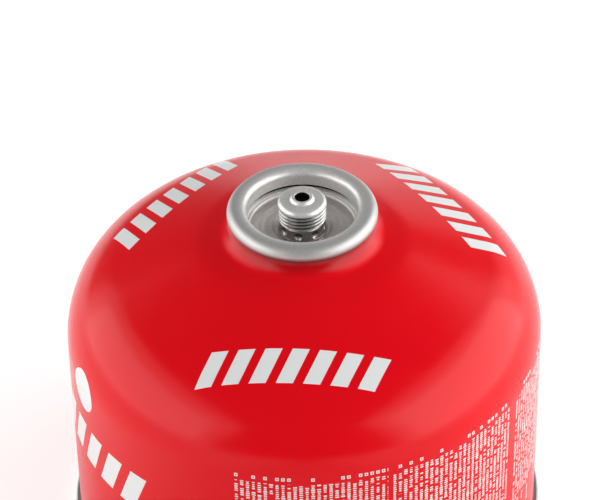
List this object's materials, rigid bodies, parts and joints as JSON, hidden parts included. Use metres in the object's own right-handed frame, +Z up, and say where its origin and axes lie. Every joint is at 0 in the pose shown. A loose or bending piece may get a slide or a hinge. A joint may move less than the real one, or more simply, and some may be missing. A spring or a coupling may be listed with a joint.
{
  "type": "camping gas cartridge",
  "caption": "Low round camping-stove gas cartridge with a domed top, a seamed base and a crimped valve cup whose threaded pedestal takes a screw-on stove.",
  "frame": {"origin": "centre of the circle that the bottom seam stands on", "axes": "+Z up along the can's axis, out through the valve; -Y is the side that faces the camera in the picture"},
  "size_m": [0.1114, 0.1114, 0.0909],
  "materials": {
    "red_lacquer": "glossy red lacquer with plain white print",
    "tinplate": "bare tinplate, satin",
    "pressed_steel": "bare pressed steel, satin with round draw marks",
    "seal_rubber": "black moulded rubber"
  },
  "bodies": {
    "root": {"can_body": "red_lacquer", "bottom_end": "tinplate", "valve_cup": "pressed_steel", "valve_seal": "seal_rubber"}
  },
  "joints": []
}
